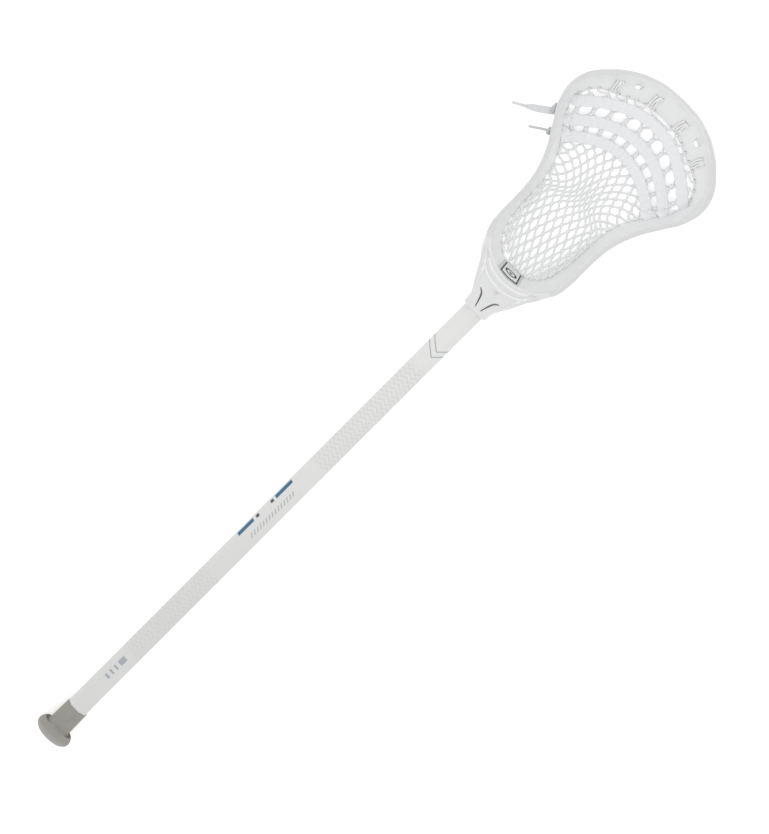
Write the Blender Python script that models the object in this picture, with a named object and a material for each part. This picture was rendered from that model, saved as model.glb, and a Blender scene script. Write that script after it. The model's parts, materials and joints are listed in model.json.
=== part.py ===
"""A lacrosse stick that lies face up: octagonal alloy shaft, moulded head, rubber end cap and strung net.

Metres. +Z is up, out of the open face of the head, and +Y runs along the stick from the butt to the scoop.
The origin is on the floor under the middle of the stick. Lengths along the stick are counted from the butt
and named "along"; y_of() turns one into a Y coordinate. The head hangs below the line of the shaft, so on a
flat floor the shaft climbs gently from its end cap to the head: the pieces on the shaft are modelled on
their own level axis, under an empty that carries the slope.
"""

import math

import bmesh
import bpy
from mathutils import Matrix, Vector

# Driving dimensions
LENGTH = 0.940
GAP = 0.0003  # between neighbours that touch
SLOPE = math.radians(1.3)
AXIS_HEIGHT = 0.0207  # of the shaft's axis above the floor, at the butt

SHAFT_FLATS = 0.0230  # across two opposite flats
SHAFT_WALL = 0.0013
SHAFT_CORNER = 0.0014  # rounding of the octagon's corners
SHAFT_TWIST = math.radians(-8.5)  # the top flat sits a little round from the face of the head
SHAFT_START = 0.0032
SHAFT_END = 0.6686

CAP_LENGTH = 0.0432
CAP_FLOOR = 0.0028
# The cap from its end face up: radius, along. The flange has a shallow groove between its lip and the sleeve.
FLANGE_PROFILE = [
    (0.0140, 0.0000), (0.0170, 0.0010), (0.0193, 0.0030), (0.0205, 0.0050), (0.0208, 0.0070), (0.0205, 0.0094),
    (0.0196, 0.0114), (0.0184, 0.0130), (0.0172, 0.0136), (0.0161, 0.0128), (0.0152, 0.0114), (0.0143, 0.0112),
]
SLEEVE_PROFILE = [
    (0.0137, 0.0122), (0.0134, 0.0240), (0.0132, 0.0370), (0.0131, 0.0424), (0.0125, CAP_LENGTH),
]

SCREW_ALONG = 0.6520
SCREW_RADIUS = 0.0018
SCREW_CLEARANCE = 0.00008  # all round the shank, in its holes
SCREW_LENGTH = 0.0125
SCREW_HEAD_RADIUS = 0.0036
SCREW_HEAD_HEIGHT = 0.0024
SCREW_SEAT = -0.0158  # depth of the underside of its head below the shaft's axis

RAIL_THICKNESS = 0.0045
SCOOP_THICKNESS = 0.0036
STATIONS = 4  # sections of the wall between two ribs

# The wall of the head from the middle of the ball stop, round the right side, to the middle of the scoop.
# Each rib: outer upper edge (x, along, height), then inner lower edge (x, along, height).
RIBS = [
    (0.0000, 0.6782, 0.0448, 0.0000, 0.6930, 0.0107),
    (0.0132, 0.6798, 0.0443, 0.0107, 0.6938, 0.0102),
    (0.0262, 0.6842, 0.0422, 0.0198, 0.6976, 0.0086),
    (0.0384, 0.6914, 0.0397, 0.0270, 0.7042, 0.0061),
    (0.0456, 0.6998, 0.0376, 0.0320, 0.7118, 0.0036),
    (0.0502, 0.7098, 0.0361, 0.0354, 0.7210, 0.0015),
    (0.0521, 0.7253, 0.0351, 0.0378, 0.7327, 0.0003),
    (0.0520, 0.7459, 0.0341, 0.0391, 0.7489, 0.0000),
    (0.0533, 0.7703, 0.0341, 0.0402, 0.7723, 0.0000),
    (0.0580, 0.7906, 0.0346, 0.0432, 0.7927, 0.0005),
    (0.0666, 0.8110, 0.0356, 0.0509, 0.8110, 0.0020),
    (0.0788, 0.8318, 0.0376, 0.0615, 0.8273, 0.0041),
    (0.0885, 0.8486, 0.0387, 0.0712, 0.8405, 0.0061),
    (0.0934, 0.8705, 0.0397, 0.0776, 0.8578, 0.0092),
    (0.0884, 0.8912, 0.0407, 0.0753, 0.8736, 0.0112),
    (0.0734, 0.9106, 0.0422, 0.0651, 0.8861, 0.0127),
    (0.0517, 0.9275, 0.0432, 0.0458, 0.8954, 0.0137),
    (0.0264, 0.9376, 0.0443, 0.0234, 0.9051, 0.0142),
    (0.0000, 0.9400, 0.0448, 0.0000, 0.9084, 0.0142),
]
LAST_RIB = len(RIBS) - 1
FIRST_SCOOP_RIB = 13  # from here on the wall is the broad plate of the scoop

# Section of the side wall: share of the way from the upper edge to the lower, depth in from the outer face.
WALL_OUTER = [(0.0, 0.0), (0.12, 0.0), (0.19, 0.0010), (0.66, 0.0010), (0.74, 0.0), (0.97, 0.0)]
WALL_INNER = [(1.0, 0.0012), (1.0, 0.0040), (0.74, 0.0045), (0.66, 0.0038), (0.19, 0.0038), (0.12, 0.0040),
              (0.0, 0.0036)]

# The throat, from its lip to where it has become the side walls: along, half width, top and bottom height.
THROAT = [
    (0.6374, 0.0147, 0.0492, 0.0210),
    (0.6477, 0.0166, 0.0495, 0.0205),
    (0.6581, 0.0216, 0.0496, 0.0190),
    (0.6684, 0.0274, 0.0492, 0.0165),
    (0.6787, 0.0330, 0.0460, 0.0135),
    (0.6889, 0.0404, 0.0424, 0.0100),
    (0.6991, 0.0455, 0.0388, 0.0065),
    (0.7080, 0.0484, 0.0364, 0.0045),
]

STRING_RADIUS = 0.0013
STRING_INSET = 0.0019  # of a string's middle from the lower edge of the wall
STRING_RISE = 0.0038  # of a string's middle above that edge
NET_THICKNESS = 0.0012
NET_INSET = 0.0040
NET_RISE = 0.0062
NET_LOW = 0.0022  # height of the lowest point of the net
NET_CENTRE = 0.7850
NET_RINGS = 7

LACE_WIDTH = 0.0120
LACE_THICKNESS = 0.0013
LACE_LIFT = 0.0016  # of a lace above the net, clear of its facets
# name: along at the middle, half width across, how far the ends fall back towards the butt
LACES = {
    "upper_shooting_lace": (0.8972, 0.0745, 0.0370),
    "middle_shooting_lace": (0.8746, 0.0685, 0.0345),
    "lower_shooting_lace": (0.8537, 0.0570, 0.0255),
}

PAD_RIBS = 1.2  # half width of the ball-stop pad, in ribs
PAD_SPAN = (0.06, 0.86)  # from its upper edge to its lower, as shares of the way down the wall
PAD_THICKNESS = 0.0026
LABEL_RIBS = 1.0
LABEL_SPAN = (0.10, 0.80)
LABEL_THICKNESS = 0.0003

TAIL_WIDTH = 0.0078
TAIL_ROUTE = [
    (-0.0826, 0.8386, 0.0236),
    (-0.0880, 0.8361, 0.0290),
    (-0.0934, 0.8325, 0.0300),
    (-0.0987, 0.8283, 0.0270),
    (-0.1031, 0.8243, 0.0200),
    (-0.1058, 0.8212, 0.0120),
    (-0.1073, 0.8191, 0.0062),
]
AGLET_RADIUS = 0.0016
AGLET_ROUTE = [(-0.1079, 0.8187, 0.0046), (-0.1138, 0.8153, 0.0038), (-0.1197, 0.8120, 0.0032)]
STRING_TAIL_RADIUS = 0.0014
STRING_TAIL_ROUTE = [
    (-0.0720, 0.8191, 0.0215),
    (-0.0757, 0.8188, 0.0222),
    (-0.0792, 0.8167, 0.0210),
    (-0.0826, 0.8140, 0.0175),
    (-0.0857, 0.8110, 0.0125),
    (-0.0882, 0.8084, 0.0068),
    (-0.0898, 0.8066, 0.0026),
]

COLOURS = {
    "white_plastic": ((0.76, 0.76, 0.765), 0.32, 0.0),
    "white_coating": ((0.74, 0.74, 0.72), 0.38, 0.0),
    "grey_rubber": ((0.28, 0.265, 0.235), 0.75, 0.0),
    "white_nylon": ((0.72, 0.73, 0.75), 0.70, 0.0),
    "white_foam": ((0.74, 0.74, 0.74), 0.85, 0.0),
    "printed_film": ((0.80, 0.80, 0.80), 0.45, 0.0),
    "steel": ((0.60, 0.60, 0.60), 0.30, 1.0),
}


def y_of(along):
    """The Y coordinate of a distance from the butt."""
    return along - LENGTH / 2


def smooth(points, per_gap):
    """Points along a Catmull-Rom curve through the given ones, per_gap of them for each stretch."""
    curve = []
    for i in range(len(points) - 1):
        before, start = points[max(i - 1, 0)], points[i]
        end, after = points[i + 1], points[min(i + 2, len(points) - 1)]
        for step in range(per_gap):
            t = step / per_gap
            curve.append(tuple(
                0.5 * (2 * b + (c - a) * t + (2 * a - 5 * b + 4 * c - d) * t * t
                       + (3 * b - a - 3 * c + d) * t ** 3)
                for a, b, c, d in zip(before, start, end, after)))
    curve.append(tuple(points[-1]))
    return curve


def material(name):
    colour, roughness, metallic = COLOURS[name]
    made = bpy.data.materials.get(name) or bpy.data.materials.new(name)
    made.use_nodes = True
    shader = made.node_tree.nodes["Principled BSDF"]
    shader.inputs["Base Color"].default_value = (*colour, 1.0)
    shader.inputs["Roughness"].default_value = roughness
    shader.inputs["Metallic"].default_value = metallic
    return made


def new_object(name, mesh_maker, colour=None, parent=None):
    """An object from a filled bmesh, with its normals out and round parts shaded smooth."""
    bmesh.ops.recalc_face_normals(mesh_maker, faces=mesh_maker.faces)
    mesh = bpy.data.meshes.new(name)
    mesh_maker.to_mesh(mesh)
    mesh_maker.free()
    mesh.shade_smooth()
    mesh.set_sharp_from_angle(angle=math.radians(35))
    made = bpy.data.objects.new(name, mesh)
    bpy.context.scene.collection.objects.link(made)
    made.parent = parent
    if colour:
        mesh.materials.append(material(colour))
    else:
        made.hide_render = True
        made.display_type = "WIRE"
    return made


def loft(sections, closed=False):
    """A bmesh through rings of points that all have the same count, capped unless it closes on itself."""
    made = bmesh.new()
    rings = [[made.verts.new(p) for p in section] for section in sections]
    pairs = list(zip(rings, rings[1:]))
    if closed:
        pairs.append((rings[-1], rings[0]))
    for one, other in pairs:
        for i in range(len(one)):
            j = (i + 1) % len(one)
            made.faces.new((one[i], one[j], other[j], other[i]))
    if not closed:
        made.faces.new(rings[0])
        made.faces.new(rings[-1])
    return made


def boolean(target, operation, tool):
    change = target.modifiers.new(operation.lower(), "BOOLEAN")
    change.operation = operation
    change.object = tool
    change.solver = "EXACT"


def octagon(flats, corner=0.0):
    """Points round an octagon of that width across its flats, in the X-Z plane, with rounded corners."""
    points = []
    for k in range(8):
        angle = SHAFT_TWIST + math.radians(45 * k + 22.5)
        turns = [0.0] if not corner else [-22.5, 0.0, 22.5]
        middle = (flats / 2 - corner) / math.cos(math.radians(22.5))
        for turn in turns:
            around = angle + math.radians(turn)
            points.append((middle * math.sin(angle) + corner * math.sin(around),
                           middle * math.cos(angle) + corner * math.cos(around)))
    return points


def prism(outline, start, end):
    return loft([[(x, along, z) for x, z in outline] for along in (start, end)])


# The shaft and what is on it, on a level axis from the butt

def make_axis():
    axis = bpy.data.objects.new("shaft_axis", None)
    bpy.context.scene.collection.objects.link(axis)
    axis.location = (0.0, y_of(0.0), AXIS_HEIGHT)
    axis.rotation_euler = (SLOPE, 0.0, 0.0)
    return axis


def make_shaft(axis):
    shaft = new_object("shaft_tube", prism(octagon(SHAFT_FLATS, SHAFT_CORNER), SHAFT_START, SHAFT_END),
                       "white_coating", axis)
    inside = octagon(SHAFT_FLATS - 2 * SHAFT_WALL, SHAFT_CORNER / 2)
    boolean(shaft, "DIFFERENCE", new_object("shaft_inside", prism(inside, -0.01, LENGTH), None, axis))
    boolean(shaft, "DIFFERENCE", screw_hole("shaft_screw_hole", axis, 0.0, -0.02))
    return shaft


def screw_hole(name, axis, top, bottom, radius=SCREW_RADIUS + SCREW_CLEARANCE):
    """A round cutter along the screw, between two heights from the shaft's axis."""
    hole = bmesh.new()
    bmesh.ops.create_cone(hole, cap_ends=True, segments=16, radius1=radius, radius2=radius,
                          depth=top - bottom,
                          matrix=Matrix.Translation((0.0, SCREW_ALONG, (top + bottom) / 2)))
    return new_object(name, hole, None, axis)


def cap_ring(radius, along, roundness):
    """A ring of the end cap: an octagon with soft corners, or a circle where roundness is 1."""
    ring = []
    for k in range(32):
        angle = SHAFT_TWIST + math.tau * k / 32
        off_flat = (angle - SHAFT_TWIST + math.pi / 8) % (math.pi / 4) - math.pi / 8
        flat = math.cos(math.pi / 8) / math.cos(off_flat)
        reach = radius * (roundness + (1 - roundness) * (0.35 + 0.65 * flat))
        ring.append((reach * math.sin(angle), along, reach * math.cos(angle)))
    return ring


def make_end_cap(axis):
    rings = [cap_ring(radius, along, 1.0) for radius, along in FLANGE_PROFILE]
    rings += [cap_ring(radius, along, 0.0) for radius, along in SLEEVE_PROFILE]
    cap = new_object("end_cap", loft(rings), "grey_rubber", axis)
    hole = octagon(SHAFT_FLATS + 2 * GAP, SHAFT_CORNER)
    boolean(cap, "DIFFERENCE", new_object("cap_hole", prism(hole, CAP_FLOOR, 0.1), None, axis))
    return cap


def make_screw(axis, throat_bottom):
    """The screw stands on its head below the throat, with its shank up into the shaft."""
    top = throat_bottom + SCREW_LENGTH
    levels = [(SCREW_HEAD_RADIUS, throat_bottom), (SCREW_HEAD_RADIUS, throat_bottom + 0.0008),
              (SCREW_RADIUS, throat_bottom + SCREW_HEAD_HEIGHT), (SCREW_RADIUS, top - 0.002),
              (0.0004, top)]
    rings = [[(r * math.cos(math.tau * k / 16), r * math.sin(math.tau * k / 16), z) for k in range(16)]
             for r, z in levels]
    screw = new_object("head_screw", loft(rings), "steel", axis)
    screw.location = (0.0, SCREW_ALONG, 0.0)
    slot = bmesh.new()
    bmesh.ops.create_cube(slot, size=1.0, matrix=Matrix.Diagonal((0.0044, 0.0009, 0.0016, 1.0)))
    for turn in (0.0, math.pi / 2):
        cutter = new_object("screw_slot", slot.copy(), None, axis)
        cutter.location = (0.0, SCREW_ALONG, throat_bottom)
        cutter.rotation_euler = (0.0, 0.0, turn)
        boolean(screw, "DIFFERENCE", cutter)
    slot.free()


# The head

def wall_section(rib, plan_out):
    """The closed section of the wall at one rib, as points (x, along, height)."""
    upper, foot = Vector(rib[:3]), Vector(rib[3:6])
    share = min(max((rib[6] - FIRST_SCOOP_RIB + 1) / 2, 0.0), 1.0)  # 0 on the side wall, 1 on the scoop
    lower = foot + plan_out * (RAIL_THICKNESS * (1 - share) + SCOOP_THICKNESS * share)
    down = lower - upper
    inward = (down.cross(plan_out.cross(down))).normalized() * -1
    section = []
    for along_wall, depth in WALL_OUTER:
        section.append(upper + down * along_wall + inward * depth * (1 - share))
    for along_wall, depth in WALL_INNER:
        full = SCOOP_THICKNESS if 0.0 < along_wall else SCOOP_THICKNESS * 0.75
        section.append(upper + down * along_wall + inward * (depth * (1 - share) + full * share))
    return section


def wall_ribs():
    """Every station of the right half, each with its place in the table of ribs as a seventh number."""
    numbered = [(*rib, float(number)) for number, rib in enumerate(RIBS)]
    return smooth(numbered, STATIONS)


def plan_outward(ribs, i):
    """The horizontal direction out of the wall at a station."""
    before, after = ribs[max(i - 1, 0)], ribs[min(i + 1, len(ribs) - 1)]
    middle = [((r[0] + r[3]) / 2, (r[1] + r[4]) / 2) for r in (before, after)]
    run = Vector((middle[1][0] - middle[0][0], middle[1][1] - middle[0][1], 0.0))
    if i == 0 or i == len(ribs) - 1:
        run = Vector((1.0 if i == 0 else -1.0, 0.0, 0.0))
    return Vector((run.y, -run.x, 0.0)).normalized()


def whole_loop(right_half):
    """The right half, then its mirror image back again, without the two middle stations twice."""
    left_half = [[Vector((-p.x, p.y, p.z)) for p in section] for section in right_half[-2:0:-1]]
    return right_half + left_half


def make_wall():
    """The closed loop of side walls, ball-stop wall and scoop."""
    ribs = wall_ribs()
    right = [wall_section(rib, plan_outward(ribs, i)) for i, rib in enumerate(ribs)]
    wall = bmesh.new()
    rings = [[wall.verts.new((p.x, y_of(p.y), p.z)) for p in section] for section in whole_loop(right)]
    count = len(rings[0])
    for ring, following in zip(rings, rings[1:] + rings[:1]):
        for edge in range(count):
            after = (edge + 1) % count
            wall.faces.new((ring[edge], ring[after], following[after], following[edge]))
    return wall


def throat_section(along, half_width, top, bottom):
    """A ring of the throat: flat above and below, with rounded sides."""
    ring = []
    middle, half_height = (top + bottom) / 2, (top - bottom) / 2
    for k in range(24):
        angle = math.tau * k / 24
        across, up = math.sin(angle), math.cos(angle)
        ring.append((half_width * math.copysign(abs(across) ** 0.55, across), y_of(along),
                     middle + half_height * math.copysign(abs(up) ** 0.55, up)))
    return ring


def ball_space():
    """A cutter with the shape of the space inside the middle of the wall, open above and below."""
    rings = []
    right = [(Vector(rib[:3]), Vector(rib[3:6]), plan_outward(wall_ribs(), i))
             for i, rib in enumerate(wall_ribs())]
    for height, depth in ((0.09, 0.4), (None, 0.4), (None, -0.5), (-0.02, -0.5)):
        ring = []
        for upper, foot, outward in right:
            edge = upper if depth > 0 else foot
            point = edge - outward * RAIL_THICKNESS * depth
            ring.append([Vector((point.x, point.y, edge.z if height is None else height))])
        rings.append([(p[0].x, y_of(p[0].y), p[0].z) for p in whole_loop(ring)])
    return loft(rings)


def make_head(axis):
    throat = new_object("throat_shape", loft([throat_section(*row) for row in smooth(THROAT, 3)]))
    boolean(throat, "DIFFERENCE", new_object("ball_space", ball_space()))
    head = new_object("head_frame", make_wall(), "white_plastic")
    boolean(head, "UNION", throat)
    bore = octagon(SHAFT_FLATS + 2 * GAP, SHAFT_CORNER)
    boolean(head, "DIFFERENCE", new_object("socket_bore", prism(bore, 0.60, SHAFT_END + GAP), None, axis))
    boolean(head, "DIFFERENCE", screw_hole("throat_screw_hole", axis, 0.0, -0.05))
    head_room = screw_hole("screw_head_room", axis, SCREW_SEAT + SCREW_HEAD_HEIGHT + GAP, -0.05,
                           SCREW_HEAD_RADIUS + GAP)
    boolean(head, "DIFFERENCE", head_room)
    for side in (-1, 1):
        slit = bmesh.new()
        place = Matrix.Translation((side * 0.0092, y_of(0.6500), 0.0500))
        turn = Matrix.Rotation(-side * math.radians(33), 4, "Z")
        bmesh.ops.create_cube(slit, size=1.0, matrix=place @ turn @ Matrix.Diagonal((0.0016, 0.0180, 0.005, 1)))
        boolean(head, "DIFFERENCE", new_object("throat_slit", slit))


# Stringing

def tube(name, points, radius, colour, cyclic=False, sides=2):
    """A round cord along points given as (x, along, height)."""
    curve = bpy.data.curves.new(name, "CURVE")
    curve.dimensions = "3D"
    curve.bevel_depth = radius
    curve.bevel_resolution = sides
    curve.use_fill_caps = True
    line = curve.splines.new("POLY")
    line.points.add(len(points) - 1)
    for target, (x, along, z) in zip(line.points, points):
        target.co = (x, y_of(along), z, 1.0)
    line.use_cyclic_u = cyclic
    curve.materials.append(material(colour))
    made = bpy.data.objects.new(name, curve)
    bpy.context.scene.collection.objects.link(made)
    return made


def foot_line(inset, rise):
    """The line that runs round inside the lower edge of the wall, as a closed loop of points."""
    ribs = wall_ribs()
    right = []
    for i, rib in enumerate(ribs):
        point = Vector(rib[3:6]) - plan_outward(ribs, i) * inset
        right.append([point + Vector((0.0, 0.0, rise))])
    return [section[0] for section in whole_loop(right)]


def make_strings():
    line = foot_line(STRING_INSET, STRING_RISE)
    total = len(line)
    side_start, side_end = round(4.4 * STATIONS), round(13.6 * STATIONS)
    spans = {
        "right_sidewall_string": (side_start, side_end),
        "left_sidewall_string": (total - side_end, total - side_start),
        "top_string": (side_end + 1, total - side_end - 1),
        "bottom_string": (-side_start + 1, side_start - 1),
    }
    for name, (start, end) in spans.items():
        tube(name, [tuple(line[i % total]) for i in range(start, end + 1)], STRING_RADIUS, "white_nylon")


def net_height(edge_height, share):
    """Height of the net, from its middle at share 0 to its edge at share 1."""
    return NET_LOW + (edge_height - NET_LOW) * share ** 2.2


def net_ring(share):
    """A closed loop on the underside of the net, at that share of the way from its middle to its edge."""
    ring = []
    for edge in foot_line(NET_INSET, NET_RISE)[::2]:
        ring.append(Vector((edge.x * share, NET_CENTRE + (edge.y - NET_CENTRE) * share,
                            net_height(edge.z, share))))
    return ring


def make_net():
    """The net as one dished sheet with the shape that its strands lie in."""
    net = bmesh.new()
    sheets = []
    for rise in (0.0, NET_THICKNESS):
        middle = net.verts.new((0.0, y_of(NET_CENTRE), NET_LOW + rise))
        rings = [[net.verts.new((p.x, y_of(p.y), p.z + rise)) for p in net_ring(step / NET_RINGS)]
                 for step in range(1, NET_RINGS + 1)]
        sheets.append(rings[-1])
        for i in range(len(rings[0])):
            j = (i + 1) % len(rings[0])
            net.faces.new((middle, rings[0][i], rings[0][j]))
            for one, other in zip(rings, rings[1:]):
                net.faces.new((one[i], one[j], other[j], other[i]))
    under, over = sheets
    for i in range(len(under)):
        j = (i + 1) % len(under)
        net.faces.new((under[i], under[j], over[j], over[i]))
    new_object("mesh_pocket", net, "white_nylon")


def net_top(x, along):
    """Height of the upper face of the net at a place, from its distance to the edge."""
    away = math.hypot(x, along - NET_CENTRE)
    toward = math.atan2(along - NET_CENTRE, x)
    edge = min(foot_line(NET_INSET, NET_RISE),
               key=lambda p: abs(math.remainder(math.atan2(p.y - NET_CENTRE, p.x) - toward, math.tau)))
    reach = math.hypot(edge.x, edge.y - NET_CENTRE)
    return net_height(edge.z, min(away / reach, 1.0)) + NET_THICKNESS


def make_lace(name, along, half_width, fall):
    """A flat lace across the net, bowed towards the scoop, lying on the strands."""
    sections = []
    for step in range(-12, 13):
        share = step / 12
        x, middle = half_width * share, along - fall * share ** 2
        across = Vector((2 * fall * share / half_width, 1.0, 0.0)).normalized() * (LACE_WIDTH / 2)
        centre = Vector((x, middle, 0.0))
        ends = [centre - across, centre + across]
        lift = max(net_top(p.x, p.y) for p in (*ends, centre)) + LACE_LIFT
        low = [Vector((p.x, p.y, lift)) for p in ends]
        high = [p + Vector((0.0, 0.0, LACE_THICKNESS)) for p in low]
        sections.append([(p.x, y_of(p.y), p.z) for p in (low[0], low[1], high[1], high[0])])
    new_object(name, loft(sections), "white_nylon")


def wall_patch(name, half_ribs, span, base, thickness, colour, columns=4, rows=5):
    """A pad that follows the inner face of the ball-stop wall, from a depth in front of it."""
    ribs = smooth([(*rib, float(n)) for n, rib in enumerate(RIBS[:3])], 8)
    places = [half_ribs * step / columns for step in range(-columns, columns + 1)]
    patch = bmesh.new()
    layers = []
    for depth in (base, base + thickness):
        layer = []
        for place in places:
            i = round(abs(place) * 8)
            rib, outward = ribs[i], plan_outward(ribs, i)
            upper = Vector(rib[:3])
            down = Vector(rib[3:6]) + outward * RAIL_THICKNESS - upper
            inward = -(down.cross(outward.cross(down))).normalized()
            column = []
            for row in range(rows + 1):
                share = span[0] + (span[1] - span[0]) * row / rows
                p = upper + down * share + inward * depth
                column.append(patch.verts.new((math.copysign(p.x, place) if place else 0.0, y_of(p.y), p.z)))
            layer.append(column)
        layers.append(layer)
    back, front = layers
    last = len(places) - 1
    for i in range(last):
        for j in range(rows):
            for layer in layers:
                patch.faces.new((layer[i][j], layer[i + 1][j], layer[i + 1][j + 1], layer[i][j + 1]))
        for j in (0, rows):
            patch.faces.new((back[i][j], back[i + 1][j], front[i + 1][j], front[i][j]))
    for j in range(rows):
        for i in (0, last):
            patch.faces.new((back[i][j], back[i][j + 1], front[i][j + 1], front[i][j]))
    new_object(name, patch, colour)


def make_ball_stop():
    pad_base = RAIL_THICKNESS + GAP
    wall_patch("ball_stop_pad", PAD_RIBS, PAD_SPAN, pad_base, PAD_THICKNESS, "white_foam")
    wall_patch("ball_stop_label", LABEL_RIBS, LABEL_SPAN, pad_base + PAD_THICKNESS + GAP, LABEL_THICKNESS,
               "printed_film")


def make_tails():
    tube("lace_tail", smooth(TAIL_ROUTE, 2), TAIL_WIDTH / 2, "white_nylon")
    tube("lace_tail_aglet", smooth(AGLET_ROUTE, 2), AGLET_RADIUS, "white_plastic")
    tube("string_tail", smooth(STRING_TAIL_ROUTE, 2), STRING_TAIL_RADIUS, "white_nylon")


def main():
    for old in list(bpy.data.objects):
        bpy.data.objects.remove(old, do_unlink=True)
    axis = make_axis()
    make_shaft(axis)
    make_end_cap(axis)
    make_screw(axis, SCREW_SEAT)
    make_head(axis)
    make_strings()
    make_net()
    for name, size in LACES.items():
        make_lace(name, *size)
    make_ball_stop()
    make_tails()


main()
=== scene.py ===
"""The looks of a lacrosse stick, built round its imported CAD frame.

Metres. The stick lies face up on the floor, +Y from the butt to the scoop, and lengths along it are counted
from the butt and named "along". The shaft, its cap and the screw are on an axis that climbs towards the head.
"""

import json
import math

import bmesh
import bpy
import numpy as np
from mathutils import Matrix, Vector

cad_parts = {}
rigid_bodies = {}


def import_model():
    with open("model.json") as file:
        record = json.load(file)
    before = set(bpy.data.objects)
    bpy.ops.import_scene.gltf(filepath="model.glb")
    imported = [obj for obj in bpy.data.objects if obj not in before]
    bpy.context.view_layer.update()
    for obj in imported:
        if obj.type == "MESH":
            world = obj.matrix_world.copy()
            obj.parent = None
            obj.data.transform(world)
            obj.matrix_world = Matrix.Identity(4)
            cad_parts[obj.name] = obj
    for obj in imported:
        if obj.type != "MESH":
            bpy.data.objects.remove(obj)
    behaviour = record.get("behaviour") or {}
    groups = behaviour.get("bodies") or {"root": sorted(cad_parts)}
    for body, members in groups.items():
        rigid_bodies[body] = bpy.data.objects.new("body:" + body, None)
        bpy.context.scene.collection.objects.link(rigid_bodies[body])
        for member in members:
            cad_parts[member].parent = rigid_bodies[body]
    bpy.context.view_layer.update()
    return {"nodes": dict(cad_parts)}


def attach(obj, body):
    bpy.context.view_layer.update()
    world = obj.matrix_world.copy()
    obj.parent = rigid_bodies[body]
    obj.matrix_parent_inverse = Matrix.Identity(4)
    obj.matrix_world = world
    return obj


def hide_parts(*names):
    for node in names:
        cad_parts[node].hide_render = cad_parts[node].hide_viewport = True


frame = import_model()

# Sizes shared with the CAD model
LENGTH = 0.940
SLOPE = math.radians(1.3)
AXIS_HEIGHT = 0.0207
SHAFT_FLATS = 0.0230
SHAFT_CORNER = 0.0014
SHAFT_TWIST = math.radians(-8.5)
SHAFT_END = 0.6686
GAP = 0.0003
CAP_LENGTH = 0.0432
CAP_FLOOR = 0.0028
# The cap's flange from its end face up, with a groove between its lip and the sleeve: radius, along
FLANGE_PROFILE = [
    (0.0140, 0.0000), (0.0157, 0.0003), (0.0170, 0.0010), (0.0183, 0.0020), (0.0193, 0.0030),
    (0.0201, 0.0040), (0.0206, 0.0053), (0.0208, 0.0070), (0.0206, 0.0086), (0.0201, 0.0102),
    (0.0193, 0.0118), (0.0184, 0.0131), (0.0178, 0.0137), (0.0171, 0.0136), (0.0163, 0.0126),
    (0.0154, 0.0112), (0.0146, 0.0108), (0.0141, 0.0110),
]
GROOVE_ROW = 12  # the row of the profile at the top of the lip, where the groove begins
CAP_SIDES = 96
BORE_CORNER = 1.062  # how far the cap's bore reaches at its corners, in halves of its width
SCREW_ALONG = 0.6520
SCREW_HOLE = (0.0019, 0.0, -0.05)  # radius, top and bottom from the shaft's axis
SCREW_HEAD_HOLE = (0.0039, -0.0131, -0.05)
RAIL_THICKNESS = 0.0045
SCOOP_THICKNESS = 0.0036
FIRST_SCOOP_RIB = 13

# The wall of the head from the middle of the ball stop, round the right side, to the middle of the scoop.
# Each rib: outer upper edge (x, along, height), then inner lower edge (x, along, height).
RIBS = [
    (0.0000, 0.6782, 0.0448, 0.0000, 0.6930, 0.0107),
    (0.0132, 0.6798, 0.0443, 0.0107, 0.6938, 0.0102),
    (0.0262, 0.6842, 0.0422, 0.0198, 0.6976, 0.0086),
    (0.0384, 0.6914, 0.0397, 0.0270, 0.7042, 0.0061),
    (0.0456, 0.6998, 0.0376, 0.0320, 0.7118, 0.0036),
    (0.0502, 0.7098, 0.0361, 0.0354, 0.7210, 0.0015),
    (0.0521, 0.7253, 0.0351, 0.0378, 0.7327, 0.0003),
    (0.0520, 0.7459, 0.0341, 0.0391, 0.7489, 0.0000),
    (0.0533, 0.7703, 0.0341, 0.0402, 0.7723, 0.0000),
    (0.0580, 0.7906, 0.0346, 0.0432, 0.7927, 0.0005),
    (0.0666, 0.8110, 0.0356, 0.0509, 0.8110, 0.0020),
    (0.0788, 0.8318, 0.0376, 0.0615, 0.8273, 0.0041),
    (0.0885, 0.8486, 0.0387, 0.0712, 0.8405, 0.0061),
    (0.0934, 0.8705, 0.0397, 0.0776, 0.8578, 0.0092),
    (0.0884, 0.8912, 0.0407, 0.0753, 0.8736, 0.0112),
    (0.0734, 0.9106, 0.0422, 0.0651, 0.8861, 0.0127),
    (0.0517, 0.9275, 0.0432, 0.0458, 0.8954, 0.0137),
    (0.0264, 0.9376, 0.0443, 0.0234, 0.9051, 0.0142),
    (0.0000, 0.9400, 0.0448, 0.0000, 0.9084, 0.0142),
]
STATIONS = 24  # sections of the wall between two ribs

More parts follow.
